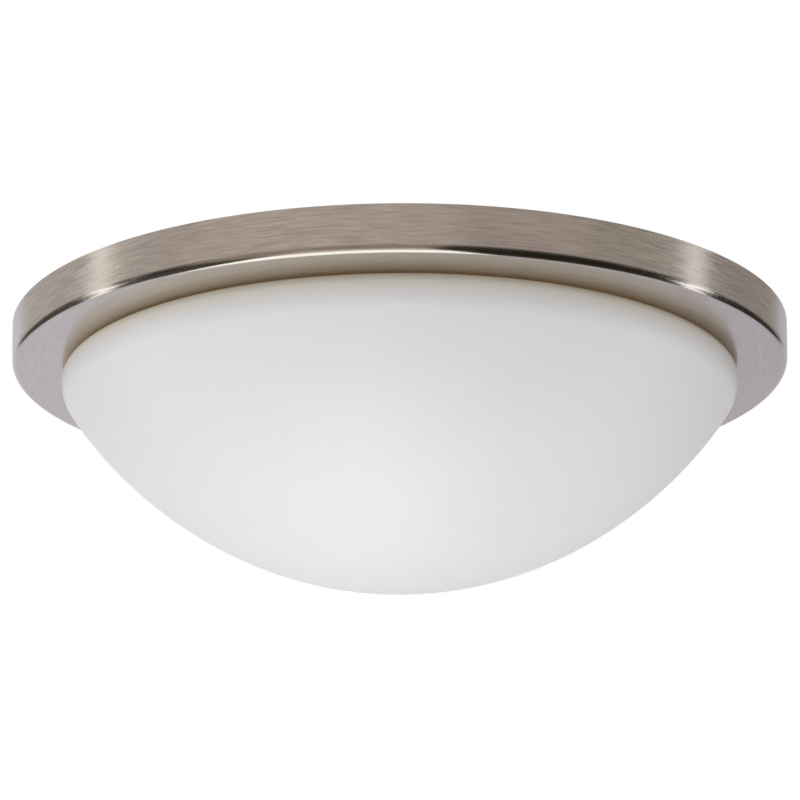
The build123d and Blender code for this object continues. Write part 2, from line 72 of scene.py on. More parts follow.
class LightPanSizes(bpy.types.PropertyGroup):
    """The pressed pan: its ring, flange, drum and centre plate."""

    radius: FloatProperty(
        name="Ring radius", description="Outer wall at its lower edge", unit="LENGTH", default=0.165)
    taper: FloatProperty(
        name="Wall taper", description="How much wider the wall is at the ceiling", unit="LENGTH",
        default=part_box("pan")[1].x - 0.165)
    depth: FloatProperty(
        name="Ring depth", description="Ceiling to flange", unit="LENGTH", default=-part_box("pan")[0].z)
    sheet: FloatProperty(
        name="Sheet", description="Thickness of the steel", unit="LENGTH", default=1.0 * MM)
    edge: FloatProperty(
        name="Edge radius", description="Rolled edge between wall and flange", unit="LENGTH",
        default=3.0 * MM)
    drum_radius: FloatProperty(
        name="Drum radius", description="Inner wall behind the glass", unit="LENGTH", default=0.133)
    plate_top: FloatProperty(
        name="Wiring gap", description="Ceiling to the top of the centre plate", unit="LENGTH",
        default=5.0 * MM)
    bend: FloatProperty(
        name="Bend radius", description="Inside radius of the two bends at the drum", unit="LENGTH",
        default=1.0 * MM)
    around: IntProperty(name="Steps around", description="Faces round the ring", default=288)


class LightGlassSizes(bpy.types.PropertyGroup):
    """The opal bowl: its outline is four arcs, and a neck with three lugs stands on it."""

    radius: FloatProperty(
        name="Bowl radius", description="Widest place of the glass", unit="LENGTH",
        default=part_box("glass_diffuser")[1].x)
    wall: FloatProperty(
        name="Wall", description="Thickness of the glass", unit="LENGTH", default=3.5 * MM)
    rim_gap: FloatProperty(
        name="Rim gap", description="Glass rim under the flange", unit="LENGTH", default=0.3 * MM)
    rim_roll: FloatProperty(
        name="Rim roll", description="Radius of the glass's upper edge", unit="LENGTH", default=4.2 * MM)
    shoulder: FloatProperty(
        name="Shoulder radius", description="First arc below the widest place", unit="LENGTH",
        default=16.1 * MM)
    shoulder_end: FloatProperty(
        name="Shoulder end", description="Below horizontal", subtype="ANGLE", default=radians(35.1))
    side: FloatProperty(
        name="Side radius", description="Long arc of the bowl's side", unit="LENGTH", default=183.6 * MM)
    side_end: FloatProperty(
        name="Side end", description="Below horizontal", subtype="ANGLE", default=radians(61.5))
    neck: FloatProperty(name="Neck radius", description="Outer face", unit="LENGTH", default=0.128)
    neck_top: FloatProperty(
        name="Neck top", description="Below the ceiling", unit="LENGTH",
        default=-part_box("glass_diffuser")[1].z)
    neck_lip: FloatProperty(
        name="Neck lip", description="Radius of the neck's rounded end", unit="LENGTH", default=1.2 * MM)
    neck_corner: FloatProperty(
        name="Neck corner", description="Radius between rim and neck", unit="LENGTH", default=1.5 * MM)
    lug_depth: FloatProperty(
        name="Lug depth", description="Out of the neck", unit="LENGTH", default=3.2 * MM)
    lug_height: FloatProperty(
        name="Lug height", description="Along the neck", unit="LENGTH", default=3.5 * MM)
    lug_angle: FloatProperty(
        name="Lug angle", description="Length of a lug round the neck", subtype="ANGLE",
        default=radians(10.0))
    around: IntProperty(name="Steps around", description="Faces round the bowl", default=240)


class LightScrewSizes(bpy.types.PropertyGroup):
    """Thread, head and cross recess of the screws."""

    pitch: FloatProperty(
        name="Thread pitch", description="Rise of one turn", unit="LENGTH", default=0.8 * MM)
    depth: FloatProperty(
        name="Thread depth", description="Root under the crest", unit="LENGTH", default=0.32 * MM)
    head_round: FloatProperty(
        name="Head round", description="Share of a head's height that is rounded", default=0.6)
    recess_width: FloatProperty(
        name="Recess width", description="Slots of the cross recess", unit="LENGTH", default=0.9 * MM)
    recess_depth: FloatProperty(
        name="Recess depth", description="Depth of the cross recess", unit="LENGTH", default=1.0 * MM)
    around: IntProperty(name="Steps around", description="Faces round a screw", default=32)


class LightColours(bpy.types.PropertyGroup):
    """The finishes' colours, with the painted light and the painted glow at the glass's rim."""

    nickel: FloatVectorProperty(
        name="Brushed nickel", description="Room side of the pan", subtype="COLOR", size=3,
        default=(0.62, 0.565, 0.515))
    plating: FloatVectorProperty(
        name="Plain plating", description="Back and inside of the pan", subtype="COLOR", size=3,
        default=(0.56, 0.53, 0.50))
    zinc: FloatVectorProperty(
        name="Zinc", description="Strap, clips and screws", subtype="COLOR", size=3,
        default=(0.66, 0.66, 0.64))
    glass: FloatVectorProperty(
        name="Opal glass", description="Satin white", subtype="COLOR", size=3,
        default=(0.873, 0.861, 0.865))
    # Painted warm light: a brighter, warmer glass colour close to the rim that stands in for the warm
    # light the rim gets from the nickel flange.
    painted_rim_light: FloatVectorProperty(
        name="Glass rim", description="Tint close to the rim", subtype="COLOR", size=3,
        default=(0.95, 0.89, 0.75))
    # Painted glow: the glass's rim emits this colour, standing in for light that comes through the
    # glass.
    painted_rim_glow: FloatVectorProperty(
        name="Rim glow", description="Light that comes through the glass at its rim",
        subtype="COLOR", size=3, default=(0.075, 0.056, 0.038))


class LightStudio(bpy.types.PropertyGroup):
    """The camera and the light, placed from the centre of the flange."""

    distance: FloatProperty(
        name="Camera distance", description="From the flange's centre", unit="LENGTH", default=1.1122)
    elevation: FloatProperty(
        name="Camera elevation", description="Below the horizon", subtype="ANGLE",
        default=radians(17.12))
    aim: FloatProperty(
        name="Camera aim", description="Below the flange's centre", subtype="ANGLE",
        default=radians(0.4035))
    roll: FloatProperty(name="Camera roll", description="Clockwise", subtype="ANGLE", default=0.0044)
    lens: FloatProperty(name="Lens", description="Focal length in millimetres", default=116.37)
    floor: FloatProperty(name="Floor", description="Below the ceiling", unit="LENGTH", default=2.4)
    ambient_below: FloatProperty(
        name="Light from below", description="Even light from under the horizon", default=0.36)
    ambient_above: FloatProperty(
        name="Light from above", description="Even light from over the horizon", default=0.31)


# ---------------------------------------------------------------- drawing and turning


def leave_selection():
    """Object mode with nothing selected: the loaded nodes would otherwise follow every operator."""
    if bpy.context.object and bpy.context.object.mode != "OBJECT":
        bpy.ops.object.mode_set(mode="OBJECT")
    bpy.ops.object.select_all(action="DESELECT")


def select_only(*objects):
    leave_selection()
    for obj in objects:
        obj.select_set(True)
    bpy.context.view_layer.objects.active = objects[0]


def settle(obj):
    """Puts a piece's place into its mesh, with its object at the origin."""
    select_only(obj)
    bpy.ops.object.transform_apply(location=True, rotation=True, scale=True)


class Pen:
    """Draws an outline in the XZ plane from its last vertex, then turns it about an upright axis."""

    def __init__(self, name, x, z):
        leave_selection()
        bpy.ops.mesh.primitive_plane_add(size=MM, location=(x, 0, z))
        self.object = bpy.context.object
        self.object.name = name
        self.object.data.name = name
        settle(self.object)
        bpy.ops.object.mode_set(mode="EDIT")
        bpy.ops.mesh.select_all(action="SELECT")
        bpy.ops.mesh.merge(type="CENTER")
        self.x, self.z = x, z

    def line(self, x, z):
        step = (x - self.x, 0, z - self.z)
        bpy.ops.mesh.extrude_region_move(TRANSFORM_OT_translate={"value": step})
        self.x, self.z = x, z

    def arc(self, centre_x, centre_z, angle, steps):
        """Turns the pen about a centre, anticlockwise where the angle is positive."""
        bpy.ops.mesh.spin(steps=steps, angle=angle, center=(centre_x, 0, centre_z), axis=(0, 1, 0))
        x, z = self.x - centre_x, self.z - centre_z
        self.x = centre_x + x * cos(angle) - z * sin(angle)
        self.z = centre_z + x * sin(angle) + z * cos(angle)

    def rounded(self, corners, radii, steps):
        """Runs through the corners to the last point, each corner rounded by an arc."""
        points = [Vector((self.x, self.z))] + [Vector(c) for c in corners]
        for before, corner, after, radius in zip(points, points[1:], points[2:], radii):
            entry = (corner - before).normalized()
            leave = (after - corner).normalized()
            turn = atan2(entry.x * leave.y - entry.y * leave.x, entry.dot(leave))
            start = corner - entry * radius * tan(abs(turn) / 2)
            side = radius if turn > 0 else -radius
            self.line(start.x, start.y)
            self.arc(start.x - entry.y * side, start.y + entry.x * side, turn, steps)
        self.line(points[-1].x, points[-1].y)

    def close(self):
        """Joins the ends of the outline and fills it."""
        bpy.ops.mesh.select_all(action="SELECT")
        bpy.ops.mesh.remove_doubles(threshold=0.01 * MM)
        bpy.ops.mesh.edge_face_add()

    def sweep(self, steps, angle, centre=(0, 0, 0)):
        """Sweeps the outline round an upright axis, anticlockwise seen from above."""
        bpy.ops.mesh.select_all(action="SELECT")
        bpy.ops.mesh.spin(steps=steps, angle=-angle, center=centre, axis=(0, 0, 1))

    def turn(self, steps, angle=2 * pi, centre=(0, 0, 0)):
        """Sweeps the outline, merges its poles and seam and points its faces outwards."""
        self.sweep(steps, angle, centre)
        bpy.ops.mesh.select_all(action="SELECT")
        bpy.ops.mesh.remove_doubles(threshold=0.001 * MM)
        bpy.ops.mesh.normals_make_consistent(inside=False)
        bpy.ops.object.mode_set(mode="OBJECT")
        return self.object


def add_modifier(obj, kind, **settings):
    """Adds a modifier, sets it and applies it."""
    select_only(obj)
    bpy.ops.object.modifier_add(type=kind)
    modifier = obj.modifiers[-1]
    for name, value in settings.items():
        setattr(modifier, name, value)
    bpy.ops.object.modifier_apply(modifier=modifier.name)


def combine(obj, other, how):
    """Cuts another object out of this one, or adds it, and removes the other."""
    add_modifier(obj, "BOOLEAN", object=other, operation=how, solver="EXACT")
    bpy.data.objects.remove(other)


def join(objects, name):
    select_only(*objects)
    if len(objects) > 1:
        bpy.ops.object.join()
    obj = bpy.context.object
    obj.name = name
    obj.data.name = name
    return obj


def smooth(obj, angle=35.0):
    select_only(obj)
    bpy.ops.object.shade_smooth_by_angle(angle=radians(angle))
    add_modifier(obj, "WEIGHTED_NORMAL", keep_sharp=True)


def rod(name, x, y, radius, low, high, steps):
    """A round rod on an upright axis."""
    leave_selection()
    bpy.ops.mesh.primitive_cylinder_add(
        vertices=steps, radius=radius, depth=high - low, location=(x, y, (low + high) / 2))
    obj = bpy.context.object
    obj.name = name
    settle(obj)
    return obj


def copy_of(obj, name):
    other = obj.copy()
    other.data = obj.data.copy()
    other.name = name
    bpy.context.collection.objects.link(other)
    return other


def moved(obj, offset=(0, 0, 0), turn=0.0):
    """Turns a piece about the upright axis through the origin, then moves it."""
    obj.matrix_world = Matrix.Translation(offset) @ Matrix.Rotation(turn, 4, "Z")
    settle(obj)
    return obj


def mount(obj, body, slot, *replaced):
    """Hands a finished piece to the frame."""
    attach(obj, body)
    if replaced:
        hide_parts(*replaced)


# ---------------------------------------------------------------- finishes


def node(tree, kind, **sockets):
    """Adds a shader node. Attributes are set by name, and inputs by their socket's name."""
    made = tree.nodes.new(kind)
    for name, value in sockets.items():
        if hasattr(made, name):
            setattr(made, name, value)
        else:
            made.inputs[name.replace("_", " ")].default_value = value
    return made


def maths(tree, operation, first, second=None):
    made = tree.nodes.new("ShaderNodeMath")
    made.operation = operation
    for socket, value in zip(made.inputs, (first, second)):
        if isinstance(value, bpy.types.NodeSocket):
            tree.links.new(value, socket)
        elif value is not None:
            socket.default_value = value
    return made.outputs[0]


def new_group(name, inputs, outputs):
    """An empty shader node group with float or colour sockets; returns its tree and end nodes."""
    tree = bpy.data.node_groups.new(name, "ShaderNodeTree")
    for label, kind, value in inputs:
        socket = tree.interface.new_socket(label, in_out="INPUT", socket_type=kind)
        socket.default_value = value
    for label, kind in outputs:
        tree.interface.new_socket(label, in_out="OUTPUT", socket_type=kind)
    return tree, tree.nodes.new("NodeGroupInput"), tree.nodes.new("NodeGroupOutput")


FLOAT = "NodeSocketFloat"
COLOUR = "NodeSocketColor"


def object_place(tree):
    """The object's own coordinates, whole and split in three."""
    place = node(tree, "ShaderNodeTexCoord").outputs["Object"]
    split = node(tree, "ShaderNodeSeparateXYZ")
    tree.links.new(place, split.inputs[0])
    return place, split.outputs


def rising(tree, value, first, last):
    """0 up to the first value and 1 from the last one on, with a smooth rise between them."""
    made = node(tree, "ShaderNodeMapRange", interpolation_type="SMOOTHSTEP")
    made.inputs["From Min"].default_value = first
    made.inputs["From Max"].default_value = last
    tree.links.new(value, made.inputs["Value"])
    return made.outputs["Result"]


def ring_brushing():
    """Streaks that run round the upright axis: fine along the section, long around it."""
    if "ring_brushing" in bpy.data.node_groups:
        return bpy.data.node_groups["ring_brushing"]
    tree, start, end = new_group(
        "ring_brushing",
        [("Length", FLOAT, 14.0), ("Fineness", FLOAT, 1500.0), ("Patches", FLOAT, 22.0)],
        [("Streak", FLOAT), ("Patch", FLOAT)])
    link = tree.links.new
    place, (x, y, z) = object_place(tree)
    squares = [maths(tree, "MULTIPLY", side, side) for side in (x, y)]
    radius = maths(tree, "SQRT", maths(tree, "ADD", *squares))
    length = maths(tree, "DIVIDE", start.outputs["Length"], maths(tree, "MAXIMUM", radius, MM))
    along = maths(tree, "MULTIPLY", maths(tree, "ADD", radius, z), start.outputs["Fineness"])
    vector = node(tree, "ShaderNodeCombineXYZ")
    link(maths(tree, "MULTIPLY", x, length), vector.inputs[0])
    link(maths(tree, "MULTIPLY", y, length), vector.inputs[1])
    link(along, vector.inputs[2])
    streak = node(tree, "ShaderNodeTexNoise", Scale=1.0, Detail=2.0, Roughness=0.5)
    link(vector.outputs[0], streak.inputs["Vector"])
    patch = node(tree, "ShaderNodeTexNoise", Detail=2.0, Roughness=0.5)
    link(place, patch.inputs["Vector"])
    link(start.outputs["Patches"], patch.inputs["Scale"])
    link(streak.outputs["Fac"], end.inputs["Streak"])
    link(patch.outputs["Fac"], end.inputs["Patch"])
    return tree


def fine_grain():
    """An even fine grain with larger soft patches, for moulded, plated and glass surfaces."""
    if "fine_grain" in bpy.data.node_groups:
        return bpy.data.node_groups["fine_grain"]
    tree, start, end = new_group(
        "fine_grain",
        [("Grain Scale", FLOAT, 900.0), ("Patch Scale", FLOAT, 30.0)],
        [("Grain", FLOAT), ("Patch", FLOAT)])
    place = node(tree, "ShaderNodeTexCoord")
    for label in ("Grain", "Patch"):
        noise = node(tree, "ShaderNodeTexNoise", Detail=3.0, Roughness=0.55)
        tree.links.new(place.outputs["Object"], noise.inputs["Vector"])
        tree.links.new(start.outputs[label + " Scale"], noise.inputs["Scale"])
        tree.links.new(noise.outputs["Fac"], end.inputs[label])
    return tree


def new_finish(name, **values):
    """A material with its Principled shader; plain values are set on the shader's own sockets."""
    material = bpy.data.materials.new(name)
    material.use_nodes = True
    shader = material.node_tree.nodes["Principled BSDF"]
    for label, value in values.items():
        shader.inputs[label.replace("_", " ")].default_value = value
    return material, material.node_tree, shader


def place_group(tree, group, **values):
    made = tree.nodes.new("ShaderNodeGroup")
    made.node_tree = group
    for label, value in values.items():
        made.inputs[label.replace("_", " ")].default_value = value
    return made


def between(tree, factor, low, high):
    """A float that goes from low to high as the factor goes from 0.3 to 0.7, where noise mostly lies."""
    made = node(tree, "ShaderNodeMapRange")
    made.inputs["From Min"].default_value = 0.3
    made.inputs["From Max"].default_value = 0.7
    made.inputs["To Min"].default_value = low
    made.inputs["To Max"].default_value = high
    tree.links.new(factor, made.inputs["Value"])
    return made.outputs["Result"]


def tinted(tree, factor, colour, low, high):
    """A colour whose brightness follows a factor, from low to high times itself."""
    made = node(tree, "ShaderNodeMix", data_type="RGBA")
    made.inputs["A"].default_value = (*[c * low for c in colour], 1)
    made.inputs["B"].default_value = (*[c * high for c in colour], 1)
    tree.links.new(between(tree, factor, 0, 1), made.inputs["Factor"])
    return made.outputs["Result"]


def bumped(tree, shader, height, strength, distance):
    bump = node(tree, "ShaderNodeBump", Strength=strength, Distance=distance)
    tree.links.new(height, bump.inputs["Height"])
    tree.links.new(bump.outputs["Normal"], shader.inputs["Normal"])


def brushed_nickel(colour, sizes):
    """Room side of the pan: brushed round its wall, and calmer and smoother on edge and flange."""
    finish, tree, shader = new_finish(
        "brushed_nickel", Metallic=1.0, Anisotropic=0.8, Anisotropic_Rotation=0.25)
    link = tree.links.new
    brushing = place_group(tree, ring_brushing(), Length=14.0, Fineness=1600.0, Patches=24.0)
    streak, patch = brushing.outputs
    height = object_place(tree)[1]["Z"]
    wall = rising(tree, height, -sizes.depth + sizes.edge * 0.05, -sizes.depth + sizes.edge * 0.8)
    flange_share = 0.35
    share = maths(tree, "ADD", maths(tree, "MULTIPLY", wall, 1 - flange_share), flange_share)
    contrast = maths(tree, "MULTIPLY", maths(tree, "SUBTRACT", streak, 0.5), share)
    shown = maths(tree, "ADD", contrast, 0.5)
    link(tinted(tree, shown, colour, 0.80, 1.18), shader.inputs["Base Color"])
    blotches = between(tree, patch, -0.015, 0.015)
    brushed = maths(tree, "ADD", between(tree, streak, 0.23, 0.31), blotches)
    rubbed = between(tree, streak, 0.13, 0.16)
    rough = node(tree, "ShaderNodeMix", data_type="FLOAT")
    link(wall, rough.inputs["Factor"])
    link(rubbed, rough.inputs["A"])
    link(brushed, rough.inputs["B"])
    link(rough.outputs["Result"], shader.inputs["Roughness"])
    bumped(tree, shader, streak, 0.02, 0.04 * MM)
    tangent = node(tree, "ShaderNodeTangent", direction_type="RADIAL", axis="Z")
    link(tangent.outputs[0], shader.inputs["Tangent"])
    return finish


def plain_plating(colour):
    """Back and inside of the pan: the same plating over unbrushed drawn sheet."""
    finish, tree, shader = new_finish("plain_plating", Metallic=1.0)
    brushing = place_group(tree, ring_brushing(), Length=4.0, Fineness=300.0, Patches=60.0)
    streak, patch = brushing.outputs
    tree.links.new(tinted(tree, patch, colour, 0.90, 1.06), shader.inputs["Base Color"])
    rough = maths(tree, "ADD", between(tree, patch, 0.38, 0.48), between(tree, streak, -0.03, 0.03))
    tree.links.new(rough, shader.inputs["Roughness"])
    bumped(tree, shader, streak, 0.10, 0.08 * MM)
    return finish


def zinc_plated(name, colour, roughness=0.34):
    """Zinc plated steel: bright, faintly mottled and finely grained."""
    finish, tree, shader = new_finish(name, Metallic=1.0)
    grain, patch = place_group(tree, fine_grain(), Grain_Scale=1400.0, Patch_Scale=160.0).outputs
    tree.links.new(tinted(tree, patch, colour, 0.88, 1.08), shader.inputs["Base Color"])
    tree.links.new(between(tree, grain, roughness - 0.06, roughness + 0.08), shader.inputs["Roughness"])
    bumped(tree, shader, grain, 0.12, 0.03 * MM)
    return finish


def moulded(name, colour, roughness=0.5, grain_scale=1600.0, depth=0.03, **values):
    """Moulded plastic or a coating: one colour with soft variation and a fine grain."""
    finish, tree, shader = new_finish(name, **values)
    grain, patch = place_group(tree, fine_grain(), Grain_Scale=grain_scale, Patch_Scale=90.0).outputs
    tree.links.new(tinted(tree, patch, colour, 0.94, 1.04), shader.inputs["Base Color"])
    tree.links.new(between(tree, grain, roughness - 0.05, roughness + 0.07), shader.inputs["Roughness"])
    bumped(tree, shader, grain, 0.2, depth * MM)
    return finish


def opal_glass(colours, sizes):
    """Satin opal glass: an even white, with painted warm light towards the rim and a painted glow at the
    rim itself.
    """
    finish, tree, shader = new_finish("opal_glass", IOR=1.5)
    link = tree.links.new
    grain, patch = place_group(tree, fine_grain(), Grain_Scale=2200.0, Patch_Scale=26.0).outputs
    body = tinted(tree, patch, colours.glass, 0.992, 1.006)
    height = object_place(tree)[1]["Z"]
    rim_z = rim_height(sizes)
    # Painted warm light: over the last 10 mm under the rim the glass turns to a brighter, warmer colour.
    mix = node(tree, "ShaderNodeMix", data_type="RGBA")
    link(rising(tree, height, rim_z - sizes.rim_roll - 6 * MM, rim_z), mix.inputs["Factor"])
    link(body, mix.inputs["A"])
    mix.inputs["B"].default_value = (*colours.painted_rim_light, 1)
    link(mix.outputs["Result"], shader.inputs["Base Color"])
    # Painted glow: the last 3 mm under the rim emit a warm colour, standing in for light through the
    # glass.
    glow = node(tree, "ShaderNodeMix", data_type="RGBA")
    link(rising(tree, height, rim_z - 3 * MM, rim_z), glow.inputs["Factor"])
    glow.inputs["A"].default_value = (0, 0, 0, 1)
    glow.inputs["B"].default_value = (*colours.painted_rim_glow, 1)
    link(glow.outputs["Result"], shader.inputs["Emission Color"])
    shader.inputs["Emission Strength"].default_value = 1.0
    link(between(tree, grain, 0.42, 0.50), shader.inputs["Roughness"])
    bumped(tree, shader, grain, 0.08, 0.02 * MM)
    return finish


def rim_height(sizes):
    """Height of the glass's rim, under the flange."""
    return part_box("pan")[0].z - sizes.rim_gap


def give(obj, *finishes):
    """Sets a piece's or a node's materials."""
    obj.data.materials.clear()
    for finish in finishes:
        obj.data.materials.append(finish)


# ---------------------------------------------------------------- pieces


class LIGHT_OT_pan(bpy.types.Operator):
    """Draws the pan's section, turns it, and cuts the plate's keyholes and holes"""

    bl_idname = "light.pan"
    bl_label = "Pan"

    def execute(self, context):
        sizes = context.scene.light_pan
        colours = context.scene.light_colours
        flange_z = -sizes.depth
        back_z = flange_z + sizes.sheet
        plate_z = -sizes.plate_top - sizes.sheet
        back_radius = sizes.radius - sizes.sheet + sizes.taper * sizes.sheet / sizes.depth
        drum_back = sizes.drum_radius + sizes.sheet
        outer_bend = sizes.bend + sizes.sheet
        plate_ring = sizes.drum_radius * 0.5

        pen = Pen("brushed_pan", sizes.radius + sizes.taper, 0)
        pen.rounded(
            [(sizes.radius, flange_z), (sizes.drum_radius, flange_z), (sizes.drum_radius, plate_z),
             (plate_ring, plate_z)],
            [sizes.edge, outer_bend, sizes.bend], 12)
        pen.line(0, plate_z)
        pan = pen.object
        bpy.ops.object.mode_set(mode="OBJECT")

        back = Pen("pan_back", sizes.radius + sizes.taper, 0)
        back.line(sizes.radius + sizes.taper - sizes.sheet, 0)
        back.rounded(
            [(back_radius, back_z), (drum_back, back_z), (drum_back, -sizes.plate_top),
             (plate_ring, -sizes.plate_top)],
            [sizes.edge - sizes.sheet, sizes.bend, outer_bend], 10)
        back.line(0, -sizes.plate_top)
        bpy.ops.object.mode_set(mode="OBJECT")
        select_only(pan, back.object)
        bpy.ops.object.join()
        bpy.ops.object.mode_set(mode="EDIT")
        pan = pen.turn(sizes.around)
        self.cut_plate(pan, plate_z, -sizes.plate_top)
        give(pan, brushed_nickel(colours.nickel, sizes), plain_plating(colours.plating))
        self.plate_back(pan, sizes)
        smooth(pan)
        mount(pan, FIXTURE, "brushed_nickel", "pan")
        return {"FINISHED"}

    def cut_plate(self, pan, low, high):
        """Keyholes for the two hanging screws, and the hole for the wire bushing."""
        screw_x = node_centre("pan_mounting_screws").x + node_size("pan_mounting_screws").x / 2
        head_radius = node_size("pan_mounting_screws").y / 2
        circle = screw_x - head_radius
        slot_radius = 2.5 * MM
        bushing_radius = 7.9 * MM
        entry_radius = head_radius + 0.8 * MM
        swing = radians(14.0)
        below, above = low - MM, high + MM
        rods = []
        for side in (0, pi):
            x, y = circle * cos(side), circle * sin(side)
            rods.append(rod("slot_end", x, y, slot_radius, below, above, 48))
            x, y = circle * cos(side + swing), circle * sin(side + swing)
            rods.append(rod("entry", x, y, entry_radius, below, above, 64))
        bushing = node_centre("wire_bushing")
        rods.append(rod("bushing_hole", bushing.x, bushing.y, bushing_radius, below, above, 64))
        combine(pan, join(rods, "round_cuts"), "DIFFERENCE")
        for side in (0, pi):
            slot = Pen("slot", circle - slot_radius, below)
            slot.line(circle + slot_radius, below)
            slot.line(circle + slot_radius, above)
            slot.line(circle - slot_radius, above)
            slot.close()
            arc = slot.turn(16, swing)
            combine(pan, moved(arc, turn=side), "DIFFERENCE")

    def plate_back(self, pan, sizes):
        """Gives the faces that the room doesn't see the plain plating."""
        middle = (sizes.radius + sizes.drum_radius) / 2
        slight = 0.02
        for face in pan.data.polygons:
            outwards = Vector((face.center.x, face.center.y, 0)).normalized()
            facing = face.normal.dot(outwards) * (1 if face.center.xy.length > middle else -1)
            inside = face.center.xy.length < sizes.drum_radius - sizes.bend
            if face.normal.z > slight or facing < -slight or inside:
                face.material_index = 1


class LIGHT_OT_glass(bpy.types.Operator):
    """Draws the bowl and its neck in arcs, turns them, and adds the three lugs"""

    bl_idname = "light.glass"
    bl_label = "Glass bowl"

    def execute(self, context):
        sizes = context.scene.light_glass
        rim_z = rim_height(sizes)
        rim_x = sizes.radius - sizes.rim_roll
        roll_z = rim_z - sizes.rim_roll
        inner_z = rim_z - sizes.wall
        neck_inside = sizes.neck - sizes.wall
        arcs = self.bowl_arcs(sizes, rim_x, roll_z)
        bottom_x, bottom_z, bottom_radius = arcs[-1][:3]
        pen = Pen("opal_bowl", bottom_x, bottom_z - bottom_radius)
        for x, z, radius, start, end, steps in reversed(arcs):
            pen.arc(x, z, start - end, steps)
        pen.rounded(
            [(sizes.neck, rim_z), (sizes.neck, -sizes.neck_top), (neck_inside, -sizes.neck_top),
             (neck_inside, inner_z), (rim_x, inner_z)],
            [sizes.neck_corner, sizes.neck_lip, sizes.neck_lip, sizes.neck_corner + sizes.wall], 8)
        for x, z, radius, start, end, steps in arcs:
            pen.arc(x, z, end - start, steps // 2)
        bowl = pen.turn(sizes.around)
        self.add_lugs(bowl, sizes, rim_z)
        give(bowl, opal_glass(context.scene.light_colours, sizes))
        smooth(bowl)
        mount(bowl, SHADE, "opal_glass", "glass_diffuser")
        return {"FINISHED"}

    def bowl_arcs(self, sizes, rim_x, roll_z):
        """Centre, radius, start, end and steps of each arc, from the rim down to the middle."""
        shoulder_x = sizes.radius - sizes.shoulder
        side_step = sizes.side - sizes.shoulder
        side_x = shoulder_x - side_step * cos(sizes.shoulder_end)
        side_z = roll_z + side_step * sin(sizes.shoulder_end)
        bottom_step = -side_x / cos(sizes.side_end)
        bottom_z = side_z - bottom_step * sin(sizes.side_end)
        return [
            (rim_x, roll_z, sizes.rim_roll, pi / 2, 0, 12),
            (shoulder_x, roll_z, sizes.shoulder, 0, -sizes.shoulder_end, 18),
            (side_x, side_z, sizes.side, -sizes.shoulder_end, -sizes.side_end, 36),
            (0, bottom_z, sizes.side - bottom_step, -sizes.side_end, -pi / 2, 28),
        ]

    def add_lugs(self, bowl, sizes, rim_z):
        root = sizes.neck - sizes.wall / 2
        tip = sizes.neck + sizes.lug_depth
        middle = (rim_z - sizes.neck_top) / 2
        low, high = middle - sizes.lug_height / 2, middle + sizes.lug_height / 2
        round_radius = 0.8 * MM
        for number in range(3):
            pen = Pen("lug", root, low)
            pen.rounded([(tip, low), (tip, high), (root, high)], [round_radius, round_radius], 6)
            pen.close()
            lug = pen.turn(12, sizes.lug_angle)
            start = pi / 2 + number * 2 * pi / 3 - sizes.lug_angle / 2
            combine(bowl, moved(lug, turn=start), "UNION")


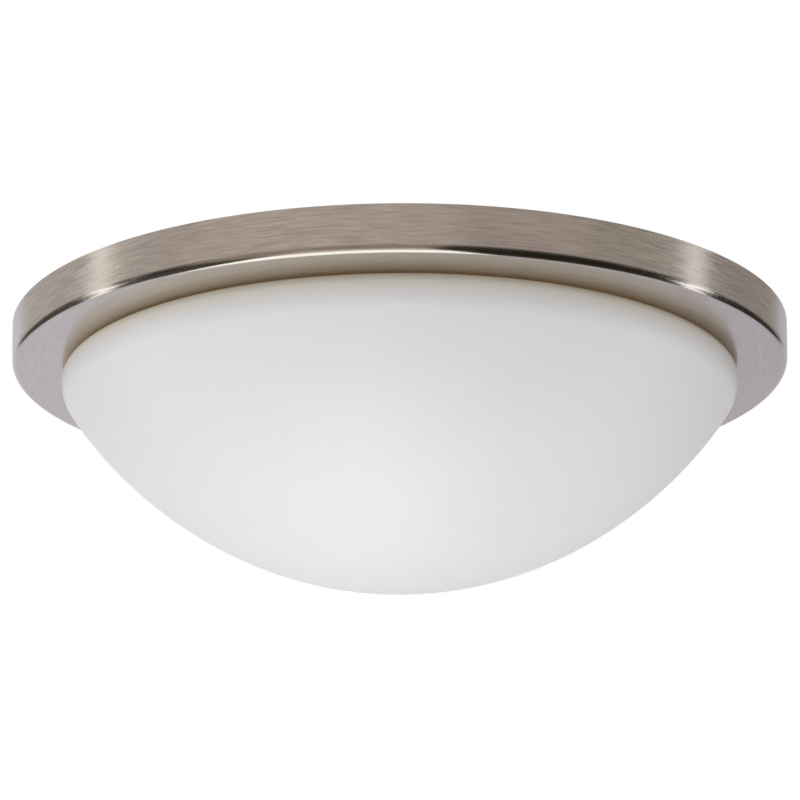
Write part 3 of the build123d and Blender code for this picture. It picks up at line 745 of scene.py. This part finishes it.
class LIGHT_OT_screws(bpy.types.Operator):
    """Models each kind of screw once, with thread and cross recess, and copies it to its places"""

    bl_idname = "light.screws"
    bl_label = "Screws"

    def execute(self, context):
        sizes = context.scene.light_screws
        colours = context.scene.light_colours
        zinc = zinc_plated("zinc_screw", [c * 1.05 for c in colours.zinc], 0.3)
        green = zinc_plated("green_screw", (0.10, 0.42, 0.20), 0.3)
        # Node: shank radius, head radius, head height, finish
        kinds = {
            "pan_mounting_screws": (2.0 * MM, 4.2 * MM, 2.6 * MM, zinc),
            "ground_screw": (2.3 * MM, 4.0 * MM, 1.8 * MM, green),
            "driver_screws": (1.5 * MM, 2.8 * MM, 1.7 * MM, zinc),
            "led_board_screws": (1.5 * MM, 2.8 * MM, 1.7 * MM, zinc),
        }
        for name, (shank, head, head_height, finish) in kinds.items():
            low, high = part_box(name)
            places = self.places(name, low, high, head)
            first = self.screw(name, sizes, shank, high.z - low.z - head_height, head, head_height)
            first.location.z = low.z + head_height
            settle(first)
            smooth(first)
            give(first, finish)
            slot = "green_screw" if name == "ground_screw" else "zinc_screw"
            for number, (x, y) in enumerate(places, 1):
                piece = copy_of(first, f"threaded_{name}_{number}")
                mount(moved(piece, (x, y, 0)), FIXTURE, slot, name)
            bpy.data.objects.remove(first)
        return {"FINISHED"}

    def places(self, name, low, high, head):
        """Where the screws of a node stand."""
        y = (low.y + high.y) / 2
        if name == "ground_screw":
            return [((low.x + high.x) / 2, y)]
        if name == "led_board_screws":
            first_angle = radians(6.0)
            circle = (high.x - head) / cos(first_angle)
            angles = [first_angle + number * pi / 3 for number in range(6)]
            return [(circle * cos(angle), circle * sin(angle)) for angle in angles]
        return [(high.x - head, y), (low.x + head, y)]

    def screw(self, name, sizes, shank, length, head, head_height):
        """One screw on the upright axis: head under its seat at 0, thread above."""
        root = shank - sizes.depth
        tip = shank / 2
        plain = 0.2 * MM
        overlap = 0.1 * MM
        pen = Pen(name + "_body", 0, -head_height)
        pen.rounded([(head, -head_height), (head, 0)], [head_height * sizes.head_round], 6)
        pen.line(root, 0)
        pen.line(root, length - tip)
        pen.line(tip, length)
        pen.line(0, length)
        body = pen.turn(sizes.around)
        for width, depth in ((head, sizes.recess_width), (sizes.recess_width, head)):
            leave_selection()
            bpy.ops.mesh.primitive_cube_add(size=1, location=(0, 0, -head_height))
            slot = bpy.context.object
            slot.scale = (width, depth, 2 * sizes.recess_depth)
            settle(slot)
            combine(body, slot, "DIFFERENCE")
        ridge = Pen(name + "_thread", root - overlap, plain)
        ridge.line(shank, plain + sizes.pitch * 0.42)
        ridge.line(root - overlap, plain + sizes.pitch * 0.84)
        ridge.close()
        bpy.ops.mesh.delete(type="ONLY_FACE")
        bpy.ops.object.mode_set(mode="OBJECT")
        thread = ridge.object
        turns = int((length - tip - plain) / sizes.pitch) - 1
        add_modifier(
            thread, "SCREW", axis="Z", angle=2 * pi, screw_offset=sizes.pitch, iterations=turns,
            steps=sizes.around, render_steps=sizes.around)
        bpy.ops.object.mode_set(mode="EDIT")
        bpy.ops.mesh.select_all(action="SELECT")
        bpy.ops.mesh.remove_doubles(threshold=0.001 * MM)
        bpy.ops.mesh.fill_holes(sides=4)
        bpy.ops.mesh.normals_make_consistent(inside=False)
        bpy.ops.object.mode_set(mode="OBJECT")
        combine(body, thread, "UNION")
        return body


def give_nodes(finishes):
    """Gives nodes that keep their modelled shape their finish."""
    for name, finish in finishes.items():
        give(CAD[name], finish)
    return {"FINISHED"}


class LIGHT_OT_hardware(bpy.types.Operator):
    """Finishes the strap, the bushing and the clips with their pads and rivets"""

    bl_idname = "light.hardware"
    bl_label = "Strap, bushing and clips"

    def execute(self, context):
        colours = context.scene.light_colours
        spring = zinc_plated("spring_steel", (0.56, 0.56, 0.57), 0.28)
        return give_nodes({
            "mounting_crossbar": zinc_plated("zinc_strap", colours.zinc),
            "wire_bushing": moulded("black_nylon", (0.03, 0.03, 0.032), 0.45),
            "glass_clip_1": spring,
            "glass_clip_2": spring,
            "glass_clip_3": spring,
            "clip_pads": moulded("silicone", (0.72, 0.72, 0.70), 0.55),
            "clip_rivets": zinc_plated("rivet_metal", (0.75, 0.75, 0.75), 0.3),
        })


class LIGHT_OT_board(bpy.types.Operator):
    """Finishes the LED board, its LEDs, its connector and the two leads"""

    bl_idname = "light.board"
    bl_label = "LED board"

    def execute(self, context):
        return give_nodes({
            "led_board": moulded("white_board", (0.86, 0.86, 0.84), 0.3),
            "led_packages": moulded("led_phosphor", (0.86, 0.68, 0.20), 0.4),
            "board_connector": moulded("white_nylon", (0.80, 0.80, 0.76)),
            "led_lead_negative": moulded("black_lead", (0.03, 0.03, 0.033), 0.4),
            "led_lead_positive": moulded("red_lead", (0.5, 0.03, 0.03), 0.4),
        })


class LIGHT_OT_driver(bpy.types.Operator):
    """Finishes the driver's tray, its cover and what they hold"""

    bl_idname = "light.driver"
    bl_label = "LED driver"

    def execute(self, context):
        return give_nodes({
            "driver_base": zinc_plated("zinc_tray", context.scene.light_colours.zinc),
            "driver_cover": moulded("white_plastic", (0.82, 0.82, 0.80), 0.5, 1200.0, 0.06),
            "driver_circuit_board": moulded("green_board", (0.03, 0.20, 0.08), 0.3),
            "driver_transformer": moulded("yellow_tape", (0.80, 0.55, 0.06), 0.3),
            "driver_capacitors": moulded("capacitor_sleeve", (0.03, 0.03, 0.06), 0.3),
            "driver_inductor": moulded("copper_winding", (0.45, 0.17, 0.05), 0.3),
        })


class LIGHT_OT_terminals(bpy.types.Operator):
    """Finishes the terminal block and its screws"""

    bl_idname = "light.terminals"
    bl_label = "Terminal block"

    def execute(self, context):
        return give_nodes({
            "terminal_block": moulded("block_nylon", (0.80, 0.80, 0.76)),
            "terminal_screws": zinc_plated("terminal_zinc", context.scene.light_colours.zinc),
        })


# ---------------------------------------------------------------- stage


CARD_RADIUS = 2.2
STRIP_RADIUS = 2.1

# Name: first and last angle round from the camera's side, lowest and highest above the horizon,
# light
CARDS = {
    "front_1": (-87, -55, -3, 60, (0.56, 0.515, 0.49)),
    "front_2": (-55, -18, -3, 60, (0.615, 0.565, 0.54)),
    "front_3": (-18, 17, -3, 60, (0.58, 0.53, 0.505)),
    "front_4": (17, 52, -3, 60, (0.51, 0.46, 0.435)),
    "front_5": (52, 86, -3, 60, (0.44, 0.40, 0.37)),
    "left_side": (-140, -87, -3, 60, (0.56, 0.53, 0.52)),
    "right_side": (86, 140, -3, 60, (0.36, 0.33, 0.315)),
    "back_high": (140, 194, -3, 60, (0.60, 0.59, 0.65)),
    "back_high_left": (194, 220, -3, 60, (0.73, 0.715, 0.79)),
    "low_front_left": (-87, -60, -90, -3, (0.05, 0.045, 0.04)),
    "low_front": (-60, 12, -90, -3, (0.34, 0.29, 0.24)),
    "low_front_right": (12, 86, -90, -3, (0.02, 0.015, 0.01)),
    "low_left": (-140, -87, -90, -3, (0.08, 0.07, 0.06)),
    "low_right": (86, 140, -90, -3, (0.03, 0.025, 0.02)),
    "back_left": (180, 220, -50, -3, (0.68, 0.675, 0.76)),
    "back_right": (140, 180, -50, -3, (0.58, 0.56, 0.64)),
    "low_back": (140, 220, -90, -50, (0.03, 0.025, 0.02)),
}

# Brighter strips a little nearer than the cards, in the same words
STRIPS = {
    "left_strip": (-95.1, -87.1, -3, 60, (1.34, 1.36, 1.31)),
    "left_strip_middle": (-93.5, -85, -15, -3, (1.5, 1.5, 1.45)),
    "left_strip_low": (-99.5, -91.5, -34, -15, (2.4, 2.5, 2.5)),
    "left_glint": (-140, -114, -44, -39.5, (1.7, 1.7, 1.65)),
    "left_glint_high": (-114, -99.5, -39.5, -32.5, (1.7, 1.7, 1.65)),
    "right_strip": (86, 94, -3, 60, (1.2, 1.23, 1.22)),
    "right_strip_middle": (84, 92.5, -15, -3, (1.5, 1.5, 1.45)),
    "right_strip_low": (90.5, 98.5, -34, -15, (2.5, 2.6, 2.7)),
    "right_glint": (113, 139, -45, -40.5, (1.7, 1.7, 1.65)),
    "right_glint_high": (98.5, 113, -40.5, -33.5, (1.7, 1.7, 1.65)),
}

# Name: left, right, front and back edges, height, light
FLAT_CARDS = {
    "under_card": (-0.62, 0.22, -0.15, 1.5, -1.5, (1.6, 1.65, 1.62)),
    "under_card_front": (-0.62, 0.20, -0.85, -0.15, -1.5, (0.77, 0.72, 0.66)),
}

# Name: place, size, power, colour
LAMPS = {
    "under": ((0, 0.2, -2.1), 2.0, 23.6, (0.98, 1.0, 1.0)),
    "left": ((-2.8, -0.4, -0.6), 1.5, 22.0, (0.97, 0.98, 1.0)),
    "right": ((2.4, -1.6, -1.4), 2.2, 11.5, (0.95, 0.93, 1.0)),
    "front": ((0.0, -2.8, -0.5), 1.5, 13.0, (1.0, 0.975, 0.94)),
    "over": ((-0.5, -0.5, 2.5), 2.5, 12.0, (0.92, 1.0, 0.95)),
}


def glow(name, colour):
    """A plain emitting material."""
    material = bpy.data.materials.new(name)
    material.use_nodes = True
    tree = material.node_tree
    tree.nodes.clear()
    emission = node(tree, "ShaderNodeEmission", Color=(*colour, 1), Strength=1.0)
    output = node(tree, "ShaderNodeOutputMaterial")
    tree.links.new(emission.outputs[0], output.inputs["Surface"])
    return material


def seen_directly(tree):
    """1 for rays that should meet the white background: camera, glossy and transmission rays."""
    path = node(tree, "ShaderNodeLightPath")
    seen = maths(tree, "MAXIMUM", path.outputs["Is Camera Ray"], path.outputs["Is Glossy Ray"])
    return maths(tree, "MAXIMUM", seen, path.outputs["Is Transmission Ray"])


class LIGHT_OT_stage(bpy.types.Operator):
    """Sets up the camera, the lamps, the reflector cards and the pale floor"""

    bl_idname = "light.stage"
    bl_label = "Camera, light and floor"

    def execute(self, context):
        studio = context.scene.light_studio
        self.camera(context, studio)
        self.world(context, studio)
        self.floor(studio)
        for name, card in CARDS.items():
            self.card(name, CARD_RADIUS, *card)
        for name, card in STRIPS.items():
            self.card(name, STRIP_RADIUS, *card)
        for name, card in FLAT_CARDS.items():
            self.flat_card(name, *card)
        for name, lamp in LAMPS.items():
            self.lamp(name, *lamp)
        context.scene.view_settings.view_transform = "Standard"
        return {"FINISHED"}

    def camera(self, context, studio):
        centre = Vector((0, 0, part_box("pan")[0].z))
        up_angle = studio.elevation
        place = centre + studio.distance * Vector((0, -cos(up_angle), -sin(up_angle)))
        leave_selection()
        bpy.ops.object.camera_add(location=place)
        camera = bpy.context.object
        camera.name = "camera"
        camera.data.lens = studio.lens
        camera.data.sensor_width = 36.0
        camera.data.clip_start = 0.05
        turn = Matrix.Rotation(pi / 2 + up_angle - studio.aim, 4, "X")
        camera.matrix_world = Matrix.Translation(place) @ turn @ Matrix.Rotation(-studio.roll, 4, "Z")
        context.scene.camera = camera

    def world(self, context, studio):
        """White wherever it is seen, and a softer light for matt surfaces, stronger from below."""
        world = bpy.data.worlds.new("studio")
        world.use_nodes = True
        tree = world.node_tree
        tree.nodes.clear()
        link = tree.links.new
        place = node(tree, "ShaderNodeTexCoord")
        split = node(tree, "ShaderNodeSeparateXYZ")
        link(place.outputs["Generated"], split.inputs[0])
        height = node(tree, "ShaderNodeMapRange", interpolation_type="SMOOTHSTEP")
        height.inputs["From Min"].default_value = -0.2
        height.inputs["From Max"].default_value = 0.2
        height.inputs["To Min"].default_value = studio.ambient_below
        height.inputs["To Max"].default_value = studio.ambient_above
        link(split.outputs["Z"], height.inputs["Value"])
        ambient = node(tree, "ShaderNodeBackground", Color=(1, 1, 1, 1))
        link(height.outputs["Result"], ambient.inputs["Strength"])
        seen = node(tree, "ShaderNodeBackground", Color=(1, 1, 1, 1), Strength=1.0)
        mix = node(tree, "ShaderNodeMixShader")
        output = node(tree, "ShaderNodeOutputWorld")
        link(seen_directly(tree), mix.inputs[0])
        link(ambient.outputs[0], mix.inputs[1])
        link(seen.outputs[0], mix.inputs[2])
        link(mix.outputs[0], output.inputs["Surface"])
        context.scene.world = world

    def floor(self, studio):
        leave_selection()
        bpy.ops.mesh.primitive_plane_add(size=14, location=(0, 0, -studio.floor))
        floor = bpy.context.object
        floor.name = "floor"
        settle(floor)
        finish, tree, shader = new_finish("pale_floor", Base_Color=(0.8, 0.8, 0.8, 1), Roughness=0.9)
        shader.inputs["Specular IOR Level"].default_value = 0.1
        pale = node(tree, "ShaderNodeEmission", Color=(1, 1, 1, 1), Strength=0.5)
        both = node(tree, "ShaderNodeAddShader")
        mix = node(tree, "ShaderNodeMixShader")
        tree.links.new(shader.outputs[0], both.inputs[0])
        tree.links.new(pale.outputs[0], both.inputs[1])
        tree.links.new(seen_directly(tree), mix.inputs[0])
        tree.links.new(shader.outputs[0], mix.inputs[1])
        tree.links.new(both.outputs[0], mix.inputs[2])
        tree.links.new(mix.outputs[0], tree.nodes["Material Output"].inputs["Surface"])
        give(floor, finish)

    def card(self, name, radius, first, last, low, high, colour):
        """A patch of a sphere round the light, which only shiny surfaces see."""
        pen = Pen(name, radius * cos(radians(low)), radius * sin(radians(low)))
        pen.arc(0, 0, radians(high - low), 12)
        pen.sweep(24, radians(last - first))
        bpy.ops.object.mode_set(mode="OBJECT")
        self.reflect_only(moved(pen.object, turn=radians(first - 90)), colour)

    def flat_card(self, name, left, right, front, back, height, colour):
        """A level card under the light, which only shiny surfaces see."""
        leave_selection()
        bpy.ops.mesh.primitive_plane_add(
            size=1, location=((left + right) / 2, (front + back) / 2, height))
        card = bpy.context.object
        card.name = name
        card.scale = (right - left, back - front, 1)
        settle(card)
        self.reflect_only(card, colour)

    def reflect_only(self, card, colour):
        give(card, glow(card.name, colour))
        for ray in ("camera", "diffuse", "shadow", "transmission", "volume_scatter"):
            setattr(card, "visible_" + ray, False)

    def lamp(self, name, place, size, power, colour):
        """A square lamp that faces the light and isn't seen in shiny surfaces."""
        leave_selection()
        bpy.ops.object.light_add(type="AREA", location=place)
        lamp = bpy.context.object
        lamp.name = name
        lamp.data.shape = "SQUARE"
        lamp.data.size = size
        lamp.data.energy = power
        lamp.data.color = colour
        lamp.visible_glossy = False
        lamp.rotation_mode = "QUATERNION"
        lamp.rotation_quaternion = Vector(place).to_track_quat("Z", "Y")


class LIGHT_PT_panel(bpy.types.Panel):
    """Lists the sizes, the colours and the steps"""

    bl_label = "Flush mount ceiling light"
    bl_idname = "LIGHT_PT_panel"
    bl_space_type = "VIEW_3D"
    bl_region_type = "UI"
    bl_category = "Ceiling light"

    def draw(self, context):
        for name in GROUPS:
            box = self.layout.box()
            group = getattr(context.scene, name)
            for prop in group.bl_rna.properties:
                if prop.identifier not in ("rna_type", "name"):
                    box.prop(group, prop.identifier)
        for operator in OPERATORS:
            self.layout.operator(operator.bl_idname)


GROUPS = {
    "light_pan": LightPanSizes,
    "light_glass": LightGlassSizes,
    "light_screws": LightScrewSizes,
    "light_colours": LightColours,
    "light_studio": LightStudio,
}
OPERATORS = (
    LIGHT_OT_stage, LIGHT_OT_pan, LIGHT_OT_glass, LIGHT_OT_screws, LIGHT_OT_hardware,
    LIGHT_OT_board, LIGHT_OT_driver, LIGHT_OT_terminals)
CLASSES = (*GROUPS.values(), *OPERATORS, LIGHT_PT_panel)


def register():
    for cls in CLASSES:
        bpy.utils.register_class(cls)
    for name, group in GROUPS.items():
        setattr(bpy.types.Scene, name, PointerProperty(type=group))


def unregister():
    for name in GROUPS:
        delattr(bpy.types.Scene, name)
    for cls in reversed(CLASSES):
        bpy.utils.unregister_class(cls)


def main():
    register()
    bpy.ops.light.stage()
    bpy.ops.light.pan()
    bpy.ops.light.glass()
    bpy.ops.light.screws()
    bpy.ops.light.hardware()
    bpy.ops.light.board()
    bpy.ops.light.driver()
    bpy.ops.light.terminals()


if __name__ == "__main__":
    main()
